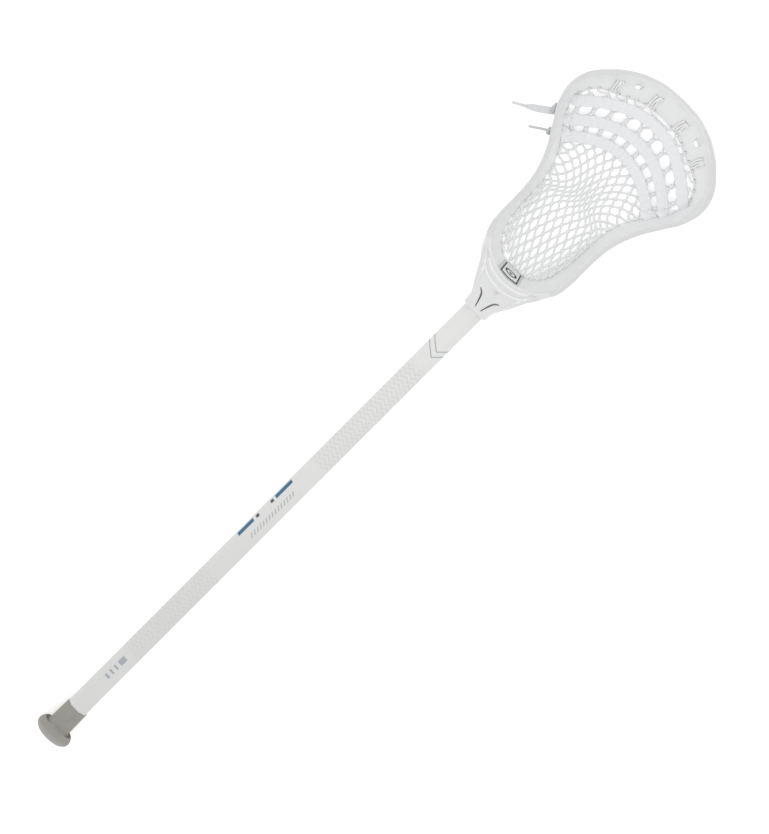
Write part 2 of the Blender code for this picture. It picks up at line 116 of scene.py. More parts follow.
# Section of the wall: share of the way from the upper edge to the lower, then depth in from the outer face
# on the side walls and on the scoop. A name in place of the share is the edge of an opening.
WALL_OUTER = [
    (-0.003, 0.0046, 0.0040), (0.003, 0.0034, 0.0026), (0.012, 0.0020, 0.0010), (0.024, 0.0008, -0.0004),
    (0.042, -0.0003, -0.0013), (0.070, -0.0008, -0.0016), (0.105, -0.0006, -0.0010), (0.140, 0.0, 0.0),
    ("web_top", 0.0, 0.0), ("web_bottom", 0.0, 0.0), (0.845, 0.0, 0.0), (0.865, 0.0, 0.0),
    ("hole_top", 0.0, 0.0), ("hole_bottom", 0.0, 0.0), (0.975, 0.0001, 0.0001), (0.990, 0.0005, 0.0005),
    (1.000, 0.0014, 0.0012),
]
WALL_INNER = [
    (1.000, 0.0032, 0.0026), (0.990, 0.0041, 0.0033), (0.975, 0.0045, 0.0036),
    ("hole_bottom", 0.0046, 0.0036), ("hole_top", 0.0046, 0.0036), (0.865, 0.0046, 0.0036),
    (0.845, 0.0045, 0.0036), ("web_bottom", 0.0044, 0.0036),
    ("web_top", 0.0044, 0.0036), (0.140, 0.0044, 0.0036), (0.105, 0.0046, 0.0039), (0.070, 0.0052, 0.0047),
    (0.042, 0.0059, 0.0056), (0.020, 0.0062, 0.0060), (0.005, 0.0061, 0.0058), (-0.002, 0.0056, 0.0051),
]
# Openings through the wall: first rib, last rib, upper and lower share, squareness of the corners, and how
# much lower they come out on the outer face
WEB_OPENINGS = [
    (15.45, 15.73, 0.54, 0.80, 5.0, 0.0),
    (16.22, 16.54, 0.47, 0.60, 3.0, 0.11),
    (17.13, 17.39, 0.50, 0.82, 5.0, 0.0),
]
LUGS = [15.59, 17.26]  # ribs where the top string winds through an opening
HOLE_SHARE = 0.925
HOLE_RADIUS = 0.0015
HOLE_PITCH = 0.0098
FIRST_HOLE_RIB = 1.0
BOTTOM_STRING_END = 4.3  # ribs where one string's holes end and the next one's begin
TOP_STRING_START = 13.7
SCOOP_BOW = 0.0035
SCOOP_EXTRA = 0.065  # how much longer the plate of the scoop is than between the two edges of its ribs

# The throat, from its lip: along, half width, top and bottom height, drop of the deck between its ridges
THROAT = [
    (0.6374, 0.0140, 0.0487, 0.0218, 0.0000),
    (0.6382, 0.0148, 0.0492, 0.0211, 0.0000),
    (0.6440, 0.0153, 0.0494, 0.0208, 0.0000),
    (0.6490, 0.0163, 0.0496, 0.0204, 0.0002),
    (0.6581, 0.0216, 0.0496, 0.0190, 0.0008),
    (0.6684, 0.0274, 0.0492, 0.0165, 0.0014),
    (0.6787, 0.0330, 0.0460, 0.0135, 0.0018),
    (0.6889, 0.0404, 0.0424, 0.0100, 0.0018),
    (0.6991, 0.0455, 0.0388, 0.0065, 0.0012),
    (0.7080, 0.0484, 0.0364, 0.0045, 0.0006),
]
# Half of the throat's outline from the bottom: share of the half width, share of the height
THROAT_SIDE = [
    (0.00, 0.00), (0.30, 0.00), (0.58, 0.01), (0.76, 0.05), (0.89, 0.14), (0.965, 0.28), (1.00, 0.44),
    (1.00, 0.60), (0.99, 0.71), (0.96, 0.82), (0.91, 0.91), (0.86, 0.97), (0.82, 1.00), (0.785, 0.995),
]
DECK = [0.76, 0.66, 0.48, 0.25, 0.0]
# Ridges that run round the face of the throat: half of the route as (across, along), width, rise
RIDGES = [
    ([(0.0, 0.6769), (0.0100, 0.6778), (0.0200, 0.6806), (0.0290, 0.6860)], 0.0062, 0.0011),
    ([(0.0, 0.6706), (0.0100, 0.6713), (0.0200, 0.6744), (0.0300, 0.6806)], 0.0036, 0.0007),
]
# The slits in the throat's face: route of the right one as (across, along), greatest width, height of the
# floor above the ground and how tall the tool is that cuts them
SLIT = [(0.0036, 0.6425), (0.0061, 0.6510), (0.0087, 0.6568), (0.0133, 0.6602)]
SLIT_WIDTH = 0.0018
SLIT_FLOOR = 0.0474
SLIT_TOOL = 0.010
# Painted shade on the rim and the throat's sides: how near the outer upper edge, how near its height, how
# much the faces look upwards, and how far along the throat's sides
RIM_WIDTH = 0.0065
RIM_DEPTH = 0.003
RIM_UPWARD = 0.503
SIDE_PAINTED_SHADE_END = 0.6900

# The net: along at the middle of each row of knots, how far its ends fall back, how crowded its edges are
# and how far its middle leans to the right
NET_ROWS = [
    (0.6947, -0.0150, 0.17, 0.0062), (0.7015, -0.0138, 0.18, 0.0054), (0.7094, -0.0118, 0.18, 0.0045),
    (0.7177, -0.0092, 0.18, 0.0036), (0.7272, -0.0068, 0.18, 0.0026), (0.7371, -0.0048, 0.18, 0.0015),
    (0.7472, -0.0032, 0.18, 0.0008), (0.7568, -0.0020, 0.17, 0.0), (0.7654, -0.0010, 0.15, 0.0),
    (0.7735, 0.0000, 0.15, 0.0), (0.7792, 0.0006, 0.00, 0.0), (0.7838, 0.0012, -0.15, 0.0),
    (0.7884, 0.0020, -0.25, 0.0), (0.7938, 0.0030, -0.30, 0.0), (0.8010, 0.0045, -0.30, 0.0),
    (0.8088, 0.0066, -0.26, 0.0), (0.8170, 0.0095, -0.20, 0.0), (0.8254, 0.0130, -0.13, 0.0),
    (0.8340, 0.0170, -0.06, 0.0), (0.8430, 0.0212, 0.00, 0.0), (0.8525, 0.0255, 0.05, 0.0),
    (0.8630, 0.0300, 0.08, 0.0), (0.8734, 0.0345, 0.09, 0.0), (0.8848, 0.0358, 0.09, 0.0),
    (0.8966, 0.0370, 0.08, 0.0), (0.9050, 0.0345, 0.06, 0.0),
]
CHAINS = 20
FIRST_THICK_ROW = 20  # from here to the scoop the strands are thicker
THICKER = 1.12
STRAND_RADIUS = 0.00112
HOLD = 0.095  # share of the length of a mesh that two strands run side by side, each way from a knot
LONG_ROWS = {21: 0.0034, 23: 0.0032}  # rows where strands run side by side for longer, half the length
NET_INSET = 0.0040
NET_RISE = 0.0062
EDGE_INSET = 0.0003  # of the edge of the strands from the foot of the wall
NET_LOW = 0.0022
NET_CENTRE = 0.7850
NET_THICKNESS = 0.0012

# On the ball stop: half the width in ribs, upper and lower share of the wall, thickness
STOP_PAD = (1.2, (0.04, 0.82), 0.0016)
STOP_LABEL = (1.0, (0.07, 0.75), 0.0003)
PAD_CROWN = 0.0002

YARN_PITCH = 0.0021
LACE_WIDTH = 0.0120
LACE_THICKNESS = 0.0013
LACE_LIFT = 0.0014
# Laces: along at the middle, half width across, how far the ends fall back, rib where they pass the wall
LACES = {
    "upper_shooting_lace": (0.8982, 0.0745, 0.0370, 12.90),
    "middle_shooting_lace": (0.8735, 0.0685, 0.0345, 11.95),
    "lower_shooting_lace": (0.8524, 0.0570, 0.0255, 11.00),
}

STRING_RADIUS = 0.0012
TAIL_WIDTH = 0.0078
TAIL_ROUTE = [
    (-0.0826, 0.8386, 0.0236), (-0.0880, 0.8361, 0.0290), (-0.0934, 0.8325, 0.0300),
    (-0.0987, 0.8283, 0.0270), (-0.1031, 0.8243, 0.0200), (-0.1058, 0.8212, 0.0120),
    (-0.1073, 0.8191, 0.0062),
]
AGLET_RADIUS = 0.0016
AGLET_ROUTE = [(-0.1079, 0.8187, 0.0046), (-0.1138, 0.8153, 0.0038), (-0.1197, 0.8120, 0.0032)]
STRING_TAIL_RADIUS = 0.0014
STRING_TAIL_ROUTE = [
    (-0.0720, 0.8191, 0.0215), (-0.0757, 0.8188, 0.0222), (-0.0792, 0.8167, 0.0210),
    (-0.0826, 0.8140, 0.0175), (-0.0857, 0.8110, 0.0125), (-0.0882, 0.8084, 0.0068),
    (-0.0898, 0.8066, 0.0026),
]
# Knots outside the left wall, where the lace and the string come out: x, along, height, size, radius
OUTER_KNOTS = [(-0.0856, 0.8420, 0.0285, 0.0015, 0.0021), (-0.0738, 0.8205, 0.0265, 0.0012, 0.0015)]

# Marks on the shaft. Bars: facet (0 on top, -1 to its left), ends along, sides across, colour, strength
GRIP_ZONES = [(0.126, 0.251), (0.408, 0.555)]
BLUE, GREY = (0.030, 0.140, 0.250, 1.0), (0.30, 0.34, 0.39, 1.0)
PALE, INK = (0.44, 0.45, 0.45, 1.0), (0.08, 0.10, 0.13, 1.0)
SHAFT_BARS = [(0, (start, end), (-0.0032, 0.0030), GREY, 0.8)
              for start, end in ((0.0915, 0.0945), (0.0985, 0.1010), (0.1050, 0.1075), (0.1115, 0.1205))]
SHAFT_BARS += [(-1, ends, (-0.0026, 0.0026), BLUE, 1.0) for ends in ((0.2975, 0.3205), (0.3537, 0.3780))]
SHAFT_BARS += [(-1, (start, start + 0.0042), (-0.0020, 0.0026), INK, 1.0) for start in (0.3244, 0.3462)]
TICK_BAR = (0, (0.306, 0.372), (0.0002, 0.0047))
TICK_PITCH = 0.0044
CHEVRONS = [0.5722, 0.5798]

# The camera: how far it leans towards the head and to the left of the stick, seen from the middle of it
CAMERA_TILT = math.radians(12)
CAMERA_SIDE = math.radians(-5)
CAMERA_DISTANCE = 5.290
CAMERA_LENS = 223.05
CAMERA_ALONG = 0.4784
CAMERA_SHIFT = (0.0213, 0.0011)
KEY_LIGHT = ((-0.1, 0.3, 2.6), (0.0, 0.1, 0.0), 1.8, 15.0)  # place, target, size, power


# Places

def y_of(along):
    return along - LENGTH / 2


def world(route):
    """Points given as (x, along, height), in the frame of the CAD."""
    return [(x, y_of(along), z) for x, along, z in route]


MIRROR = np.array([-1.0, 1.0, 1.0])
AXIS = Matrix.Translation((0.0, y_of(0.0), AXIS_HEIGHT)) @ Matrix.Rotation(SLOPE, 4, "X")


def catmull(points, per_gap):
    """Rows along a Catmull-Rom curve through the given rows, per_gap of them for each stretch."""
    rows = np.array(points, float)
    padded = np.concatenate([rows[:1], rows, rows[-1:]])
    steps = np.arange(per_gap)[:, None] / per_gap
    stretches = []
    for i in range(len(rows) - 1):
        a, b, c, d = padded[i:i + 4]
        stretches.append(0.5 * (2 * b + (c - a) * steps + (2 * a - 5 * b + 4 * c - d) * steps ** 2
                                + (3 * b - a - 3 * c + d) * steps ** 3))
    return np.concatenate(stretches + [rows[-1:]])


def unit(vectors):
    return vectors / np.maximum(np.linalg.norm(vectors, axis=-1, keepdims=True), 1e-12)


def rib_curves():
    """The wall's right half at every station: rib number, upper edge, way down, inward, plan outward."""
    numbers = np.arange(len(RIBS), dtype=float)[:, None]
    rows = catmull(np.hstack([np.array(RIBS), numbers]), STATIONS)
    upper, foot, rib = rows[:, :3], rows[:, 3:6], rows[:, 6]
    middle = (upper[:, :2] + foot[:, :2]) / 2
    run = np.gradient(middle, axis=0)
    run[0], run[-1] = (1.0, 0.0), (-1.0, 0.0)
    outward = unit(np.stack([run[:, 1], -run[:, 0], np.zeros(len(run))], 1))
    scoop = np.clip((rib - FIRST_SCOOP_RIB + 1) / 2, 0, 1)[:, None]
    lower = foot + outward * (RAIL_THICKNESS * (1 - scoop) + SCOOP_THICKNESS * scoop)
    down = lower - upper
    foot = foot + down * SCOOP_EXTRA * scoop
    down = down * (1 + SCOOP_EXTRA * scoop)
    inward = -unit(np.cross(down, np.cross(outward, down)))
    return rib, upper, down, inward, outward, foot, scoop[:, 0]


RIB, UPPER, DOWN, INWARD, OUTWARD, FOOT, SCOOP = rib_curves()


def row_at(rows, rib):
    """A row of one of the wall's curves at a rib number."""
    return np.array([np.interp(abs(rib), RIB, rows[:, k]) for k in range(3)])


def wall_point(rib, share, depth):
    """A place in the wall: rib number, negative on the left, share of the way down, depth from outside."""
    bow = SCOOP_BOW * 4 * share * (1 - share) * np.interp(abs(rib), RIB, SCOOP)
    x, along, z = row_at(UPPER, rib) + row_at(DOWN, rib) * share + row_at(INWARD, rib) * (depth - bow)
    return np.array([math.copysign(x, rib) if rib else 0.0, y_of(along), z])


def inset_line(inset, rise):
    """A line inside the foot of the right half of the wall."""
    return FOOT - OUTWARD * inset + np.array([0.0, 0.0, rise])


NET_EDGE = inset_line(NET_INSET, NET_RISE)
STRAND_EDGE = inset_line(EDGE_INSET, NET_RISE)
NET_TURNS = np.arctan2(NET_EDGE[:, 1] - NET_CENTRE, NET_EDGE[:, 0])
NET_REACH = np.hypot(NET_EDGE[:, 0], NET_EDGE[:, 1] - NET_CENTRE)


def net_floor(x, along):
    """Height of the underside of the net."""
    turn = np.arctan2(along - NET_CENTRE, np.abs(x))
    share = np.minimum(np.hypot(x, along - NET_CENTRE) / np.interp(turn, NET_TURNS, NET_REACH), 1.02)
    edge = np.interp(turn, NET_TURNS, NET_EDGE[:, 2])
    return NET_LOW + (edge - NET_LOW) * share ** 2.2


# Meshes

def link(name, mesh, material_made):
    made = bpy.data.objects.new(name, mesh)
    bpy.context.scene.collection.objects.link(made)
    if material_made:
        mesh.materials.append(material_made)
    return made


def mesh_of(name, points, faces, uv=None, sharp=40):
    """A mesh with smooth faces, sharp where they meet at more than that angle, and a UV for each point."""
    mesh = bpy.data.meshes.new(name)
    mesh.from_pydata([tuple(p) for p in points], [], [tuple(f) for f in faces])
    if uv is not None:
        layer = mesh.uv_layers.new(name="UVMap")
        corners = np.zeros(len(mesh.loops), np.int32)
        mesh.loops.foreach_get("vertex_index", corners)
        layer.data.foreach_set("uv", np.array(uv, np.float32)[corners].ravel())
    mesh.shade_smooth()
    mesh.set_sharp_from_angle(angle=math.radians(sharp))
    return mesh


def frames_along(path, up):
    """Side and up vectors along a path, kept near the given up."""
    tangent = unit(np.gradient(path, axis=0))
    side = unit(np.cross(tangent, np.broadcast_to(up, path.shape)))
    return side, unit(np.cross(side, tangent))


def swept(path, outline, up=(0.0, 0.0, 1.0)):
    """Points, faces and UV of an outline swept along a path: one outline, or one for each point."""
    path = np.array(path, float)
    side, above = frames_along(path, np.array(up))
    rings = np.broadcast_to(outline, (len(path), *np.shape(outline)[-2:]))
    points = path[:, None] + side[:, None] * rings[..., :1] + above[:, None] * rings[..., 1:]
    count = rings.shape[1]
    length = np.concatenate([[0.0], np.cumsum(np.linalg.norm(np.diff(path, axis=0), axis=1))])
    uv = np.stack(np.broadcast_arrays(length[:, None], np.arange(count)[None] / count), -1)
    faces = [(i * count + k, i * count + (k + 1) % count, (i + 1) * count + (k + 1) % count,
              (i + 1) * count + k) for i in range(len(path) - 1) for k in range(count)]
    faces.append(tuple(range(count))[::-1])
    faces.append(tuple(range((len(path) - 1) * count, len(path) * count)))
    return points.reshape(-1, 3), [f[::-1] for f in faces], uv.reshape(-1, 2)


def circle(radius, sides=8):
    turns = np.arange(sides) * math.tau / sides
    return np.stack([np.cos(turns), np.sin(turns)], 1) * radius


def joined(parts):
    """Several (points, faces, uv) as one."""
    points, faces, uv, start = [], [], [], 0
    for part_points, part_faces, part_uv in parts:
        points.append(part_points)
        uv.append(part_uv)
        faces += [tuple(i + start for i in face) for face in part_faces]
        start += len(part_points)
    return np.concatenate(points), faces, np.concatenate(uv)


def loft(name, rings, sharp=40):
    """A closed skin over rings of points that all have the same count, capped at both ends."""
    rings = np.array(rings, float)
    rows, count = rings.shape[:2]
    faces = [(i * count + k, (i + 1) * count + k, (i + 1) * count + (k + 1) % count,
              i * count + (k + 1) % count) for i in range(rows - 1) for k in range(count)]
    faces.append(tuple(range(count)))
    faces.append(tuple(range((rows - 1) * count, rows * count))[::-1])
    mesh = mesh_of(name, rings.reshape(-1, 3), faces, None, sharp)
    outwards(mesh)
    return mesh


def outwards(mesh, welded=False):
    """Turns every face outwards, once the points that share a place are one if welded."""
    work = bmesh.new()
    work.from_mesh(mesh)
    if welded:
        bmesh.ops.remove_doubles(work, verts=work.verts, dist=1e-7)
        bmesh.ops.dissolve_degenerate(work, edges=work.edges, dist=1e-8)
    bmesh.ops.recalc_face_normals(work, faces=work.faces)
    work.to_mesh(mesh)
    work.free()


def cut(target, operation, tool_mesh):
    """Applies a Boolean with a throwaway tool."""
    tool = link("tool", tool_mesh, None)
    change = target.modifiers.new("cut", "BOOLEAN")
    change.operation = operation
    change.object = tool
    change.solver = "MANIFOLD"
    bpy.context.view_layer.update()
    result = bpy.data.meshes.new_from_object(target.evaluated_get(bpy.context.evaluated_depsgraph_get()))
    target.modifiers.clear()
    target.data = result
    bpy.data.objects.remove(tool, do_unlink=True)


def octagon(flats, corner):
    """Points round the shaft's octagon, in its X-Z plane, with rounded corners."""
    points = []
    middle = (flats / 2 - corner) / math.cos(math.radians(22.5))
    for k in range(8):
        angle = SHAFT_TWIST + math.radians(45 * k + 22.5)
        for turn in (-22.5, 0.0, 22.5):
            around = angle + math.radians(turn)
            points.append((middle * math.sin(angle) + corner * math.sin(around),
                           middle * math.cos(angle) + corner * math.cos(around)))
    return points


def piece(name, mesh, material_made, body, slot, *replaced):
    """A finished piece that rides on a body and stands for CAD nodes."""
    made = link(name, mesh, material_made)
    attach(made, body)
    if replaced:
        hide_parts(*replaced)
    return made


def cord_piece(name, parts, material_made, slot, *replaced):
    """A piece on the stick made of swept parts, as (points, faces, uv)."""
    return piece(name, mesh_of(name, *joined(parts), 60), material_made, "stick", slot, *replaced)


# Materials

def node(tree, kind, inputs=None, **settings):
    made = tree.nodes.new(kind)
    for key, value in settings.items():
        setattr(made, key, value)
    for key, value in (inputs or {}).items():
        if isinstance(value, bpy.types.NodeSocket):
            tree.links.new(value, made.inputs[key])
        else:
            made.inputs[key].default_value = value
    return made


def maths(tree, operation, a, b=0.0, c=0.0):
    return node(tree, "ShaderNodeMath", {0: a, 1: b, 2: c}, operation=operation).outputs[0]


def times(tree, a, b):
    return maths(tree, "MULTIPLY", a, b)


def highest(tree, *values):
    top = values[0]
    for value in values[1:]:
        top = maths(tree, "MAXIMUM", top, value)
    return top


def ramp(tree, value, low=0.0, high=1.0, start=0.0, end=1.0):
    """The value mapped from low and high to start and end, and held beyond them."""
    return node(tree, "ShaderNodeMapRange", {0: value, 1: low, 2: high, 3: start, 4: end}).outputs[0]


def between(tree, value, low, high, soft):
    """1 where the value is between two limits, with soft edges."""
    rise = ramp(tree, value, low - soft, low + soft)
    fall = ramp(tree, value, high - soft, high + soft, 1.0, 0.0)
    return times(tree, rise, fall)


def mixed(tree, share, one, other, blend="MIX"):
    made = node(tree, "ShaderNodeMix", {0: share, 6: one, 7: other}, data_type="RGBA", blend_type=blend)
    return made.outputs[2]


def shade(value, tint=(1.0, 1.0, 1.0)):
    return (*(value * t for t in tint), 1.0)


def new_material(name, roughness, **inputs):
    """A material with its tree and shader. Spaces in the shader's socket names are written as underscores."""
    made = bpy.data.materials.new(name)
    made.use_nodes = True
    tree = made.node_tree
    shader = tree.nodes["Principled BSDF"]
    shader.inputs["Roughness"].default_value = roughness
    for key, value in inputs.items():
        shader.inputs[key.replace("_", " ")].default_value = value
    return made, tree, shader


def place_of(tree):
    return node(tree, "ShaderNodeTexCoord").outputs["Object"]


def numbers_of(tree, vector):
    """The three numbers of a vector."""
    return tuple(node(tree, "ShaderNodeSeparateXYZ", {0: vector}).outputs)


def uv_of(tree):
    """The two numbers of the UV map."""
    return numbers_of(tree, node(tree, "ShaderNodeUVMap", uv_map="UVMap").outputs[0])[:2]


def noise(tree, scale, detail=3.0):
    inputs = {"Vector": place_of(tree), "Scale": scale, "Detail": detail}
    return node(tree, "ShaderNodeTexNoise", inputs).outputs[0]


def finish_material(tree, shader, colour, bump, height, roughness=None):
    tree.links.new(colour, shader.inputs["Base Color"])
    if roughness is not None:
        tree.links.new(roughness, shader.inputs["Roughness"])
    made = node(tree, "ShaderNodeBump", {"Height": bump, "Distance": height})
    tree.links.new(made.outputs[0], shader.inputs["Normal"])


def plastic_material(name, value, scoop_value=None):
    """Moulded nylon: satin, uneven in colour and gloss, in another shade towards the scoop if given."""
    made, tree, shader = new_material(name, 0.30, Specular_IOR_Level=0.14, Subsurface_Weight=0.35,
                                      Subsurface_Scale=0.0035, Subsurface_Radius=(1.0, 1.0, 1.0))
    tint = (1.0, 1.003, 1.006)
    colour = mixed(tree, noise(tree, 18.0), shade(value * 0.98, tint), shade(value * 1.02, tint))
    if scoop_value:
        share = ramp(tree, numbers_of(tree, place_of(tree))[1], 0.37, 0.44)
        colour = mixed(tree, share, colour, shade(scoop_value, tint))
    rough = ramp(tree, noise(tree, 60.0), start=0.24, end=0.36)
    finish_material(tree, shader, colour, noise(tree, 1400.0, 2.0), 0.00004, rough)
    return made


def rubber_material():
    """Grey rubber with pale specks, and a painted highlight that makes it paler on the lip."""
    made, tree, shader = new_material("cap_rubber", 0.85, Specular_IOR_Level=0.15)
    fine = noise(tree, 2600.0, 4.0)
    dark, pale = shade(0.265, (1.04, 1.0, 0.90)), shade(0.320, (1.03, 1.0, 0.92))
    colour = mixed(tree, noise(tree, 120.0, 5.0), dark, pale)
    colour = mixed(tree, between(tree, fine, 0.62, 2.0, 0.03), colour, shade(0.36, (1.02, 1.0, 0.94)))
    # Painted highlight: paler at the butt end, on the lip, fading out up the flange
    lip_painted_highlight = ramp(tree, numbers_of(tree, place_of(tree))[1], y_of(0.0045), y_of(0.0085), 1.0, 0.0)
    colour = mixed(tree, lip_painted_highlight, colour, shade(0.375, (1.03, 1.0, 0.95)))
    finish_material(tree, shader, colour, fine, 0.00012)
    return made


def crossing_waves(tree, along, across):
    """Waves at the sum and at the difference of two angles."""
    one = maths(tree, "SINE", maths(tree, "ADD", along, across))
    other = maths(tree, "SINE", maths(tree, "SUBTRACT", along, across))
    return one, other


def nylon_material(name, value, tint, pitch, turns):
    """White nylon cord with a braid that stands out a little, from UV with length in metres."""
    made, tree, shader = new_material(name, 0.62, Sheen_Weight=0.25, Sheen_Roughness=0.5)
    along, around = uv_of(tree)
    waves = crossing_waves(tree, times(tree, along, math.tau / pitch), times(tree, around, math.tau * turns))
    share = ramp(tree, highest(tree, *waves), -0.3, 1.0)
    yarn = mixed(tree, share, shade(value * 0.86, tint), shade(value * 1.03, tint))
    uneven = mixed(tree, noise(tree, 260.0), shade(0.93), shade(1.0))
    finish_material(tree, shader, mixed(tree, 1.0, yarn, uneven, "MULTIPLY"), share, 0.00012)
    return made


def lace_material(name, value):
    """A flat woven lace whose slanting yarns cross, from UV in metres both ways."""
    made, tree, shader = new_material(name, 0.68, Sheen_Weight=0.3, Sheen_Roughness=0.5)
    angles = [times(tree, number, math.tau / YARN_PITCH) for number in uv_of(tree)]
    share = ramp(tree, times(tree, *crossing_waves(tree, *angles)), -1.0, 1.0)
    tint = (0.990, 1.0, 1.018)
    yarn = mixed(tree, share, shade(value * 0.95, tint), shade(value * 1.05, tint))
    finish_material(tree, shader, yarn, share, 0.0003)
    return made


def foam_material():
    made, tree, shader = new_material("stop_foam", 0.9, Sheen_Weight=0.1)
    cells = node(tree, "ShaderNodeTexVoronoi", {"Vector": place_of(tree), "Scale": 1300.0}).outputs[0]
    finish_material(tree, shader, mixed(tree, cells, shade(0.78), shade(0.64)), cells, -0.0002)
    return made


def label_material():
    """A white film with a black outline on three sides and a plain oval, from UV of -1 to 1 both ways."""
    made, tree, shader = new_material("label_film", 0.42)
    x, y = uv_of(tree)
    across = maths(tree, "ABSOLUTE", x)
    sides = between(tree, across, 0.83, 0.99, 0.015)
    foot = times(tree, between(tree, y, -0.98, -0.80, 0.02), between(tree, across, -1, 0.99, 0.015))
    wide = maths(tree, "POWER", maths(tree, "DIVIDE", x, 0.68), 2.0)
    tall = maths(tree, "POWER", maths(tree, "DIVIDE", maths(tree, "SUBTRACT", y, 0.02), 0.42), 2.0)
    reach = maths(tree, "SQRT", maths(tree, "ADD", wide, tall))
    oval = between(tree, reach, 0.66, 1.0, 0.05)
    core = between(tree, reach, -1.0, 0.30, 0.05)
    ink = highest(tree, sides, foot, oval, core)
    paper = mixed(tree, noise(tree, 300.0), shade(0.80), shade(0.74))
    finish_material(tree, shader, mixed(tree, ink, paper, shade(0.012)), ink, 0.00002)
    return made


def aglet_material():
    made, tree, shader = new_material("aglet_plastic", 0.22, Coat_Weight=0.4)
    colour = mixed(tree, noise(tree, 400.0), shade(0.60), shade(0.72))
    finish_material(tree, shader, colour, noise(tree, 900.0), 0.00005)
    return made


def steel_material():
    made, tree, shader = new_material("screw_steel", 0.30, Metallic=1.0)
    rough = ramp(tree, noise(tree, 2200.0), start=0.22, end=0.42)
    colour = mixed(tree, noise(tree, 500.0), shade(0.50), shade(0.66))
    finish_material(tree, shader, colour, noise(tree, 3000.0), 0.00003, rough)
    return made


def shaft_places(tree):
    """Distance from the butt, facet (0 on top, + to the right), place across it and across the shaft."""
    shifted = node(tree, "ShaderNodeVectorMath", {0: place_of(tree), 1: (0.0, y_of(0.0), AXIS_HEIGHT)},
                   operation="SUBTRACT").outputs[0]
    level = node(tree, "ShaderNodeVectorRotate", {"Vector": shifted, "Angle": -SLOPE},
                 rotation_type="X_AXIS").outputs[0]
    x, along, z = numbers_of(tree, level)
    turn = maths(tree, "SUBTRACT", maths(tree, "ARCTAN2", x, z), SHAFT_TWIST)
    facet = maths(tree, "ROUND", maths(tree, "DIVIDE", turn, math.radians(45)))
    off = maths(tree, "SUBTRACT", turn, times(tree, facet, math.radians(45)))
    return along, facet, times(tree, maths(tree, "TANGENT", off), SHAFT_FLATS / 2), x


def coating_material():
    """White powder coat with an embossed grip pattern and printed bars, ticks and chevrons."""
    made, tree, shader = new_material("shaft_coating", 0.40, Specular_IOR_Level=0.25, Coat_Weight=0.08,
                                      Coat_Roughness=0.25)
    along, facet, across, shaft_x = shaft_places(tree)
    broad = noise(tree, 30.0)
    tint = (1.0, 1.0, 0.985)
    # Painted light and shade along the shaft: darker towards the butt, paler towards the head
    butt_painted_shade = mixed(tree, broad, shade(0.640, tint), shade(0.670, tint))
    head_painted_light = mixed(tree, broad, shade(0.705, tint), shade(0.740, tint))
    colour = mixed(tree, ramp(tree, along, 0.2, 0.5), butt_painted_shade, head_painted_light)
    zones = highest(tree, *(between(tree, along, *ends, 0.004) for ends in GRIP_ZONES))
    slant = times(tree, maths(tree, "ABSOLUTE", across), 900.0)
    wave = maths(tree, "SINE", maths(tree, "ADD", times(tree, along, math.tau / 0.0055), slant))
    grip = times(tree, between(tree, wave, 0.35, 2.0, 0.2), zones)
    colour = mixed(tree, times(tree, grip, 0.5), colour, shade(0.62))

    def bar(number, ends, sides):
        """1 on a bar of a facet."""
        box = times(tree, between(tree, along, *ends, 0.0002), between(tree, across, *sides, 0.0002))
        return times(tree, between(tree, facet, number - 0.5, number + 0.5, 0.01), box)

    marks = [(bar(number, ends, sides), ink, strength) for number, ends, sides, ink, strength in SHAFT_BARS]
    slanted = maths(tree, "MULTIPLY_ADD", across, 0.7, along)
    ticks = between(tree, maths(tree, "FRACT", maths(tree, "DIVIDE", slanted, TICK_PITCH)), 0.25, 0.70, 0.08)
    marks.append((times(tree, bar(*TICK_BAR), ticks), PALE, 0.9))
    fall = times(tree, maths(tree, "ABSOLUTE", maths(tree, "ADD", shaft_x, -0.0016)), -0.80)
    chevron = maths(tree, "ADD", along, fall)
    for start in CHEVRONS:
        marks.append((between(tree, chevron, start, start + 0.0015, 0.0003), GREY, 0.85))
    for mask, ink, strength in marks:
        colour = mixed(tree, times(tree, mask, strength), colour, ink)
    height = maths(tree, "ADD", grip, times(tree, noise(tree, 900.0), 0.15))
    finish_material(tree, shader, colour, height, 0.0002)
    return made


PLASTIC = plastic_material("head_plastic", 0.725)
# Painted shade: a dark copy of the plastic for the faces in the slits
SLIT_PAINTED_SHADE = plastic_material("head_plastic_painted_shade_in_slits", 0.25)
# Painted shade: a darker copy of the plastic for the rim and the throat's sides
RIM_AND_SIDE_PAINTED_SHADE = plastic_material("head_plastic_painted_shade_on_rim_and_sides", 0.670)
# Painted light: a paler copy of the plastic for the inner faces, a little less pale on the scoop
INNER_PAINTED_LIGHT = plastic_material("head_plastic_painted_light_inside", 0.87, 0.81)
RUBBER = rubber_material()
NET = nylon_material("net_nylon", 0.84, (0.995, 1.0, 1.008), 0.0030, 1)
STRING = nylon_material("string_nylon", 0.92, (1.0, 1.0, 1.005), 0.0022, 2)
LOOSE_STRING = nylon_material("loose_string_nylon", 0.60, (1.0, 1.0, 1.005), 0.0022, 2)
# Painted light: the lace in the head is paler than its loose end, for the shade it lies in; the loose end and
# the knots outside the left wall have the darker copy
LACE = lace_material("lace_nylon", 0.84)
LOOSE_LACE = lace_material("loose_lace_nylon", 0.71)
FOAM = foam_material()
LABEL = label_material()
AGLET = aglet_material()
STEEL = steel_material()
COATING = coating_material()


# The head

